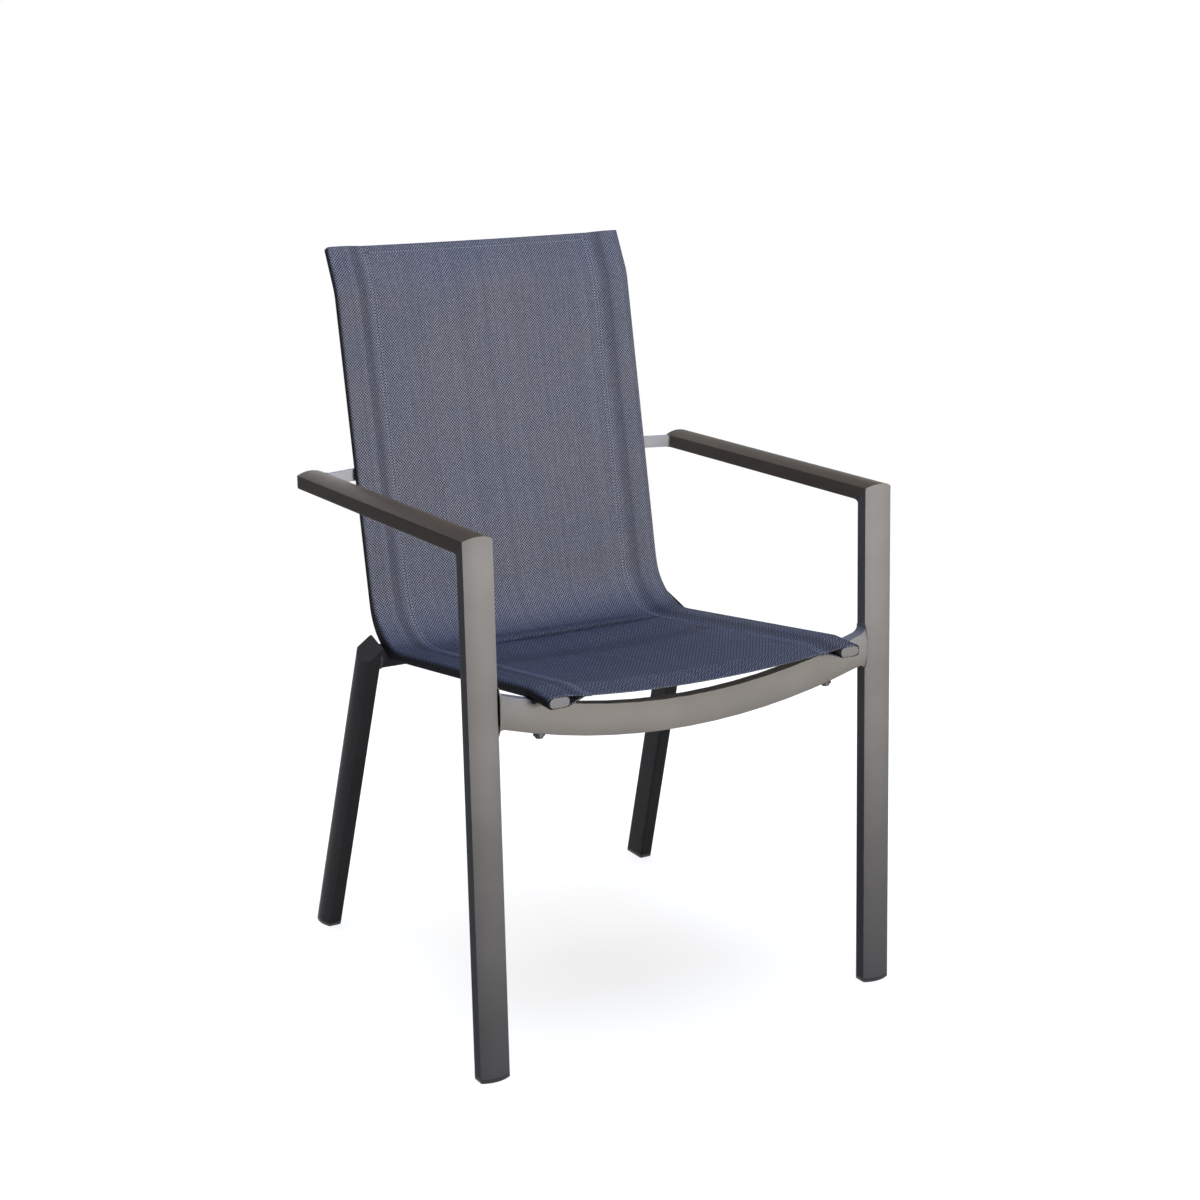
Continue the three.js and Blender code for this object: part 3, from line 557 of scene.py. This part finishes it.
WAVE_LENGTH = 160 * MM
WAVE_SLANT = 900 * MM
BRIDGE = (BEND_START - 22 * MM, BEND_END + 22 * MM)
BRIDGE_HEIGHT = 7 * MM
BRIDGE_FADE = 70 * MM
BRIDGE_DEPTH = 0.7 * POCKET_THICKNESS
RELIEF_END = SEAM_X + 2 * RAIL_HALF_WIDTH + 14 * MM


def waves(t, seed, count=5, spread=0.35):
    """Smooth random line about 0, of unit size, over a coordinate t that runs one wave per unit."""
    own = np.random.default_rng(seed)
    total = np.zeros_like(t)
    for _ in range(count):
        pace = 1 + spread * own.uniform(-1, 1)
        total = total + own.uniform(0.6, 1) * np.sin(2 * np.pi * (pace * t + own.uniform()))
    return total / math.sqrt(count)


def bell(t, centre, width):
    """Bell curve of unit height."""
    return np.exp(-(((t - centre) / width) ** 2))


def relief(s, u):
    """How far the cloth stands proud of its plain shape, towards the sitter."""
    x = np.abs(u)
    # puckers along the seams, other ones on each side
    near = np.exp(-np.abs(x - PUCKER_X) / PUCKER_REACH)
    left, right = waves(s / PUCKER_PITCH, 3), waves(s / PUCKER_PITCH, 4)
    made = PUCKER_HEIGHT * near * np.where(u < 0, left, right)
    # seams pulled in along the stitch rows and along the hem at the top
    for row in STITCH_ROWS:
        made -= ROW_PULL * bell(x, row, ROW_PULL_WIDTH)
    made -= ROW_PULL * bell(s, SLING_TO - TOP_HEM, ROW_PULL_WIDTH) * (x < SEAM_X)
    # soft folds across the sheet about the bend, where the cloth has room to move
    sheet = np.clip((SEAM_X - x) / SHEET_FADE, 0, 1) ** 0.5
    drift = FOLD_DRIFT * np.sin(u / FOLD_DRIFT_SCALE + 0.7)
    for centre, width, height in FOLDS:
        made += height * sheet * bell(s + drift, centre, width)
    # long, low waves of a stretched sheet
    return made + WAVE_HEIGHT * sheet * waves(s / WAVE_LENGTH + u / WAVE_SLANT, 9, 4)


def bridge(s, x, d):
    """How far the taut cloth over a rail stands off the bend, less so on the sheet and down the sides."""
    share = np.clip((s - BRIDGE[0]) / (BRIDGE[1] - BRIDGE[0]), 0, 1)
    over = np.clip(1 - d / BRIDGE_DEPTH, 0, 1)
    aside = np.clip((np.abs(x) - SEAM_X + BRIDGE_FADE) / BRIDGE_FADE, 0, 1)
    return BRIDGE_HEIGHT * np.sin(np.pi * share) ** 2 * over * aside


def sling_surface(s, u, x, d):
    """Points of the cloth at distances along the side line and across the cloth, from its plain section."""
    hollow = np.clip(1 - (np.minimum(np.abs(x), SEAM_X) / SEAM_X) ** 2, 0, 1)
    lift = relief(s, u) * (np.abs(u) <= RELIEF_END)
    depth = d + sag_at(s) * hollow - lift - bridge(s, x, d)
    y, z, angle = on_line(s)
    return np.stack([x, y + depth * np.sin(angle), z - depth * np.cos(angle)], axis=-1)


# The cloth

ROW_STEP = 3 * MM


def make_sling(material):
    """The cloth as a sheet with a thickness, and with a UV map in metres across and along it."""
    rows = np.linspace(SLING_FROM, SLING_TO, round((SLING_TO - SLING_FROM) / ROW_STEP) + 1)
    s, u = np.meshgrid(rows, SHEET_U, indexing="ij")
    x = np.broadcast_to(SHEET_X, s.shape)
    d = np.broadcast_to(SHEET_D, s.shape)
    middle = sling_surface(s, u, x, d)
    normal = np.cross(np.gradient(middle, axis=1), np.gradient(middle, axis=0))
    normal /= np.linalg.norm(normal, axis=-1, keepdims=True)
    h, w = s.shape
    upper = middle + normal * FABRIC / 2
    lower = middle - normal * FABRIC / 2
    vertices = np.concatenate([upper.reshape(-1, 3), lower.reshape(-1, 3)])
    uv = np.stack([u, s], axis=-1).reshape(-1, 2)
    uv = np.concatenate([uv, uv])
    index = np.arange(h * w).reshape(h, w)
    a, b, c, e = index[:-1, :-1], index[:-1, 1:], index[1:, 1:], index[1:, :-1]
    top = np.stack([a, b, c, e], axis=-1).reshape(-1, 4)
    bottom = np.stack([e, c, b, a], axis=-1).reshape(-1, 4) + h * w
    rim = np.concatenate([index[0, :-1], index[:-1, -1], index[-1, :0:-1], index[:0:-1, 0]])
    following = np.roll(rim, -1)
    edge = np.stack([following, rim, rim + h * w, following + h * w], axis=-1)
    faces = np.concatenate([top, bottom, edge]).tolist()
    obj = build("sling_cloth", vertices, faces, material)
    layer = obj.data.uv_layers.new(name="cloth")
    loops = np.zeros(len(obj.data.loops), np.int32)
    obj.data.loops.foreach_get("vertex_index", loops)
    layer.data.foreach_set("uv", uv[loops].astype(np.float32).ravel())
    return obj


# Weave and colours of the cloth. A cell is one crossing of a group of yarns with another.

CELL_WIDTH = 1.85 * MM
CELL_LENGTH = 2.0 * MM
YARNS = 2  # in a group
WARP = rgb(113, 114, 120), rgb(127, 128, 134)
WEFT = rgb(15, 16, 23), rgb(21, 22, 30)
WORN = rgb(70, 72, 82)
WORN_SHARE = 0.35  # at most
TINTS = rgb(50, 62, 92), rgb(96, 82, 76)
TINT_SHARE = 0.09
# A dark colour for painted shade at the yarns' edges and in the folds, and for the seat's slanting lines;
# below it, how much painted shade falls between two yarns
DEEP = rgb(14, 15, 20)
PAINTED_SHADE_BETWEEN_YARNS = 0.6  # between two yarns
# Painted shade in the open corners between the yarns
GAP_SHADE_COLOUR = rgb(6, 6, 8)
GAP_CORNER = (0.16, 0.2)

# Painted shade on the cloth, each with how dark it is: in the hollow beside the rail, on the pocket's
# outer side, in the stitch rows and in the folds; then the fine slanting lines that the weave makes on the
# seat

VALLEY = [SEAM_X + part * MM for part in (3, 8, 16, 21)]
VALLEY_SHADE = 0.28
VALLEY_COLOUR = rgb(14, 15, 19)
# Painted shade on the pocket's outer side
OUTER_SIDE = [SEAM_X + part * MM for part in (46, 50, 64, 72)]
OUTER_SHADE = 0.85
OUTER_COLOUR = rgb(9, 9, 11)
# Painted shade along the stitch rows and the top hem: its core and reach, how dark it is, and its colour
GROOVE = (0.3 * MM, 1.3 * MM)
GROOVE_SHADE = 0.5
GROOVE_COLOUR = rgb(12, 12, 16)
# Painted shade across the sheet in its folds: middle, reach and how dark
FOLD_SHADES = [(BEND_START - 26 * MM, 7 * MM, 0.6), (BEND_START - 139 * MM, 40 * MM, 0.24)]
LINE_ACROSS = 4.65 * MM
LINE_ALONG = -6.7 * MM
LINE_FADE = 30 * MM
LINE_SHADE = 0.5


def weave(m, across, along, place):
    """Colour and height of yarns woven in groups, light ones lengthways and dark ones across, with painted
    shade at their edges and in the open corners.
    """
    u = m.math("DIVIDE", across, CELL_WIDTH)
    v = m.math("DIVIDE", along, CELL_LENGTH)
    column, row = m.math("FLOOR", u), m.math("FLOOR", v)
    over = m.math("FLOORED_MODULO", m.math("ADD", column, row), 2)
    under = m.math("SUBTRACT", 1.0, over)

    def centred(value):
        """Position in a cell, or in a yarn of it, about its middle."""
        return m.math("SUBTRACT", m.math("FRACT", value), 0.5)

    def crown(value):
        """Height of a yarn over its width, 1 in its middle and 0 at its edges."""
        off = centred(m.math("MULTIPLY", value, YARNS))
        return m.math("SUBTRACT", 1.0, m.math("MULTIPLY", m.math("MULTIPLY", off, off), 4.0))

    def random(value, dimensions="1D", name="W"):
        """Random number of a yarn or of a cell."""
        made = m.node("ShaderNodeTexWhiteNoise", noise_dimensions=dimensions)
        m.put(value, made.inputs[name])
        return made.outputs[0]

    light, dark = m.math("MULTIPLY", over, crown(u)), m.math("MULTIPLY", under, crown(v))
    height = m.math("ADD", light, dark)
    corner = m.math("MULTIPLY", m.math("ABSOLUTE", centred(u)), m.math("ABSOLUTE", centred(v)))
    cell = m.node("ShaderNodeCombineXYZ")
    m.put(column, cell.inputs[0])
    m.put(row, cell.inputs[1])
    colour = m.mix(over, m.mix(random(row), *WEFT), m.mix(random(column), *WARP))
    worn = m.math("MULTIPLY", random(cell.outputs[0], "2D", "Vector"), WORN_SHARE)
    colour = m.mix(worn, colour, WORN)
    cloud = m.ramp(m.noise(place, scale=9, detail=3, roughness=0.6), 0.3, 0.7)
    colour = m.mix(TINT_SHARE, colour, m.mix(cloud, *TINTS))
    # painted shade at the edges of the yarns, deepest where they dip between each other
    colour = m.mix(m.ramp(height, 0.0, 0.9, PAINTED_SHADE_BETWEEN_YARNS, 0.0), colour, DEEP)
    # painted shade in the open corners between the yarns
    return m.mix(m.ramp(corner, *GAP_CORNER), colour, GAP_SHADE_COLOUR), height


def shades(m, colour, across, along):
    """Colour of the cloth with its painted shade, and the seat's slanting lines."""
    side = m.math("ABSOLUTE", across)
    sheet = m.math("LESS_THAN", side, SEAM_X)

    def band(value, edges, share):
        """A share between the inner two of four edges, fading to 0 at the outer two."""
        falling = m.ramp(value, edges[2], edges[3], 1.0, 0.0)
        inside = m.math("MULTIPLY", m.ramp(value, edges[0], edges[1]), falling)
        return m.math("MULTIPLY", inside, share)

    def groove(value, centre, core, reach, share):
        """A share along a line and within a core about it, fading to 0 at a reach."""
        off = m.math("ABSOLUTE", m.math("SUBTRACT", value, centre))
        return m.ramp(off, core, reach, share, 0.0)

    # painted shade in the hollow beside the rail
    colour = m.mix(band(side, VALLEY, VALLEY_SHADE), colour, VALLEY_COLOUR)
    # painted shade on the pocket's outer side
    colour = m.mix(band(side, OUTER_SIDE, OUTER_SHADE), colour, OUTER_COLOUR)
    # painted shade in the stitch rows and in the groove of the top hem
    for row in STITCH_ROWS:
        colour = m.mix(groove(side, row, *GROOVE, GROOVE_SHADE), colour, GROOVE_COLOUR)
    hem = groove(along, SLING_TO - TOP_HEM, *GROOVE, GROOVE_SHADE)
    colour = m.mix(m.math("MULTIPLY", hem, sheet), colour, GROOVE_COLOUR)
    # painted shade in the folds
    for centre, reach, share in FOLD_SHADES:
        fold = groove(along, centre, 0.0, reach, share)
        colour = m.mix(m.math("MULTIPLY", fold, sheet), colour, DEEP)
    count = m.math("ADD", m.math("DIVIDE", across, LINE_ACROSS), m.math("DIVIDE", along, LINE_ALONG))
    wave = m.ramp(m.math("SINE", m.math("MULTIPLY", count, 2 * math.pi)), -1.0, 1.0)
    seat = m.ramp(along, BEND_START, BEND_START + LINE_FADE, LINE_SHADE, 0.0)
    return m.mix(m.math("MULTIPLY", wave, seat), colour, DEEP)


def fabric():
    """Coated mesh fabric, with painted shade in the open corners between its yarns and in its hollows,
    grooves and folds.
    """
    m = Material("sling_fabric")
    place = m.node("ShaderNodeUVMap", uv_map="cloth").outputs[0]
    split = m.node("ShaderNodeSeparateXYZ")
    m.put(place, split.inputs[0])
    across, along = split.outputs[0], split.outputs[1]
    colour, height = weave(m, across, along, place)
    m.set(
        Base_Color=shades(m, colour, across, along),
        Roughness=0.75,
        Normal=m.bump(height, distance=0.25 * MM, strength=0.6),
        Specular_IOR_Level=0.08,
    )
    return m.made


# Stitches

THREAD_COLOURS = rgb(62, 65, 75), rgb(140, 144, 156)
THREAD_RADIUS = 0.48 * MM
STITCH_PITCH = 3.6 * MM
STITCH_LENGTH = 2.7 * MM
STITCH_SIDES = 6
STITCH_RINGS = 5
STITCH_RISE = 0.9  # of the thread's radius, from the ends of a stitch to its middle
STITCH_SINK = 0.35  # of it, into the cloth at the ends
STITCH_THIN = 0.55  # of it, left at the ends
STITCH_START = 2 * MM  # from the nose end of the cloth
STITCH_STOP = 4 * MM  # from its top
HEM_STOP = 10 * MM  # from the seams


def thread():
    """Spun thread, lighter than the cloth in places."""
    m = Material("seam_thread")
    cloud = m.noise(m.place(), scale=1800, detail=2, roughness=0.5)
    m.set(Base_Color=m.mix(cloud, *THREAD_COLOURS), Roughness=0.6)
    return m.made


def face_at(s, u, depth):
    """Points at a height over the middle of the cloth, and the directions out of it."""
    d = np.full_like(s, SHEET_DEPTH)
    e = 0.2 * MM
    here = sling_surface(s, u, u, d)
    along = sling_surface(s + e, u, u, d) - sling_surface(s - e, u, u, d)
    across = sling_surface(s, u + e, u + e, d) - sling_surface(s, u - e, u - e, d)
    out = np.cross(across, along)
    out /= np.linalg.norm(out, axis=-1, keepdims=True)
    return here + out * depth, out


def make_stitches(name, rows, material):
    """Stitches that each dive into the cloth at their ends.

    A row gives the starts and the ends, as distances along the side line and across the cloth, the
    height over the middle of the cloth, and 1 for its face or -1 for its back.
    """
    share = np.linspace(0, 1, STITCH_RINGS)
    turn = 2 * np.pi * np.arange(STITCH_SIDES) / STITCH_SIDES
    proud = np.sin(np.pi * share)
    centre_lift = proud * THREAD_RADIUS * STITCH_RISE - THREAD_RADIUS * STITCH_SINK
    size = THREAD_RADIUS * (STITCH_THIN + (1 - STITCH_THIN) * proud)
    vertices = []
    for starts, ends, depth, sign in rows:
        first, out = face_at(starts[:, 0], starts[:, 1], depth)
        last, _ = face_at(ends[:, 0], ends[:, 1], depth)
        out = out * sign
        axis = last - first
        across = np.cross(axis, out)
        across /= np.linalg.norm(across, axis=-1, keepdims=True)
        centre = first[:, None] + axis[:, None] * share[:, None]
        centre = centre + out[:, None] * centre_lift[:, None]
        ring = across[:, None, None] * np.cos(turn)[:, None]
        ring = ring + out[:, None, None] * np.sin(turn)[:, None]
        vertices.append((centre[:, :, None] + ring * size[:, None, None]).reshape(-1, 3))
    vertices = np.concatenate(vertices)
    k = np.arange(STITCH_SIDES)
    n = (k + 1) % STITCH_SIDES
    quads = np.concatenate([
        np.stack([k, n, n + STITCH_SIDES, k + STITCH_SIDES], axis=1) + r * STITCH_SIDES
        for r in range(STITCH_RINGS - 1)
    ])
    bases = np.arange(0, len(vertices), STITCH_RINGS * STITCH_SIDES)
    faces = (quads[None] + bases[:, None, None]).reshape(-1, 4).tolist()
    last_ring = (STITCH_RINGS - 1) * STITCH_SIDES
    faces += (bases[:, None] + k[::-1]).tolist() + (bases[:, None] + last_ring + k).tolist()
    return build(name, vertices, faces, material)


def stitch_rows():
    """Two rows along each pocket, on its face and on its back, and one row along the hem at the top."""
    rows = []
    starts = np.arange(SLING_FROM + STITCH_START, SLING_TO - STITCH_STOP, STITCH_PITCH)
    layers = ((FABRIC / 2, 1), (-1.5 * FABRIC - LAYER_GAP, -1))
    for side in (-1, 1):
        for row in STITCH_ROWS:
            first = np.stack([starts, np.full_like(starts, side * row)], axis=1)
            for depth, sign in layers:
                rows.append((first, first + [STITCH_LENGTH, 0], depth, sign))
    across = np.arange(-SEAM_X + HEM_STOP, SEAM_X - HEM_STOP, STITCH_PITCH)
    first = np.stack([np.full_like(across, SLING_TO - TOP_HEM), across], axis=1)
    rows.append((first, first + [0, STITCH_LENGTH], FABRIC / 2, 1))
    return rows


sling = make_sling(fabric())
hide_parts("sling")
stitches = make_stitches("sling_stitches", stitch_rows(), thread())

# Floor and world

FLOOR_SIZE = 14.0
FLOOR_COLOUR = rgb(80, 80, 80)
SHADOW_SHARE = 0.2
SHADOW_REACH = (1.0, 2.2)
WHITE = (1, 1, 1, 1)
GROUND = (0.05, 0.05, 0.05, 1)
SKY = (0.09, 0.12, 0.20, 1)
SKY_RISE = (-0.1, 0.8)


def floor_material():
    """White to the camera and in reflections, with the chair's shadow. Plain ground to other light."""
    m = Material("floor")
    m.set(Base_Color=FLOOR_COLOUR, Roughness=0.9, Specular_IOR_Level=0.0)
    away = m.node("ShaderNodeVectorMath", operation="LENGTH")
    m.put(m.place(), away.inputs[0])
    share = m.ramp(away.outputs["Value"], *SHADOW_REACH, SHADOW_SHARE, 0.0)
    white = m.node("ShaderNodeEmission")
    m.put(m.math("SUBTRACT", 1.0, share), white.inputs["Strength"])
    grey = m.node("ShaderNodeCombineXYZ")
    for socket in grey.inputs:
        m.put(share, socket)
    lit = m.node("ShaderNodeBsdfDiffuse")
    m.put(grey.outputs[0], lit.inputs["Color"])
    both = m.node("ShaderNodeAddShader")
    m.put(white.outputs[0], both.inputs[0])
    m.put(lit.outputs[0], both.inputs[1])
    surface = m.tree.nodes["Material Output"].inputs[0]
    m.put(m.choose(m.seen(), m.bsdf.outputs[0], both.outputs[0]), surface)
    return m.made


def make_floor():
    """The floor under the chair, which isn't part of it."""
    half = FLOOR_SIZE / 2
    mesh = bpy.data.meshes.new("floor")
    corners = [(-half, -half, 0), (half, -half, 0), (half, half, 0), (-half, half, 0)]
    mesh.from_pydata(corners, [], [(0, 1, 2, 3)])
    mesh.materials.append(floor_material())
    made = bpy.data.objects.new("floor", mesh)
    bpy.context.scene.collection.objects.link(made)
    return made


def make_world():
    """White background, and a dim blue sky over grey ground as light."""
    world = bpy.data.worlds.new("world")
    world.use_nodes = True
    bpy.context.scene.world = world
    g = Graph(world.node_tree)
    g.tree.nodes.clear()
    split = g.node("ShaderNodeSeparateXYZ")
    g.put(g.node("ShaderNodeTexCoord").outputs["Generated"], split.inputs[0])
    rise = g.ramp(split.outputs["Z"], *SKY_RISE, interpolation="LINEAR")
    lights = []
    for colour in (g.mix(rise, GROUND, SKY), WHITE):
        light = g.node("ShaderNodeBackground")
        g.put(colour, light.inputs["Color"])
        g.put(1.0, light.inputs["Strength"])
        lights.append(light.outputs[0])
    g.put(g.choose(g.seen(), *lights), g.node("ShaderNodeOutputWorld").inputs[0])


# Lamps. A low one brightens the front legs and the seat rail, a blue one over the chair the sling, and
# a warm one the arms and the rear legs, which aren't blue in the photograph. The rear legs are dark
# there, so the low one leaves them out. Two stand behind and on the right for the views from there, and
# one lights the floor alone, for the shadow.

CHAIR_MIDDLE = (0, 0, 0.4)
SEAT_FRONT = (0.03, -0.2, 0.75)
NEUTRAL = (1, 1, 1)
WARM = (1.0, 0.985, 0.96)
WARMER = (1.0, 0.94, 0.84)
BLUE = (0.42, 0.56, 1.0)


def lamp(name, azimuth, elevation, distance, size, power, colour=NEUTRAL, target=CHAIR_MIDDLE,
         spread=180):
    """Area lamp at a place round the chair, facing a target. Angles are in degrees."""
    data = bpy.data.lights.new(name, "AREA")
    data.shape = "RECTANGLE"
    data.size, data.size_y = size
    data.energy = power
    data.color = colour
    data.spread = math.radians(spread)
    made = bpy.data.objects.new(name, data)
    set_round(made, azimuth, elevation, distance, target)
    return made


def link(light, state, pieces):
    """Gives a lamp's light to the pieces alone (INCLUDE), or to all but them (EXCLUDE)."""
    receivers = bpy.data.collections.new(f"{light.name}_receivers")
    for piece in pieces:
        receivers.objects.link(piece)
    light.light_linking.receiver_collection = receivers
    for entry in receivers.collection_objects:
        entry.light_linking.link_state = state


floor = make_floor()
make_world()
low_front = lamp("low_front", 2, 1, 2.5, (0.8, 0.45), 8, WARM, SEAT_FRONT, spread=40)
above = lamp("sky", 0, 82, 3.0, (2.0, 2.0), 104, BLUE)
above_arms = lamp("above_arms", -10, 65, 3.0, (2.0, 2.0), 17, WARMER)
lamp("behind", 172, 16, 3.0, (1.6, 1.6), 22)
lamp("right", 122, 14, 3.0, (1.4, 1.6), 12)
over_floor = lamp("over_floor", 0, 89.9, 4.0, (4.0, 4.0), 330)

rear_legs = [obj for name, obj in nodes.items() if name.startswith("rear_")]
arms = [obj for name, obj in nodes.items() if name.startswith("armrest")]
link(over_floor, "INCLUDE", [floor])
link(above_arms, "INCLUDE", arms + rear_legs)
link(low_front, "EXCLUDE", rear_legs)
link(above, "EXCLUDE", arms + rear_legs)

bpy.context.scene.view_settings.view_transform = "Standard"
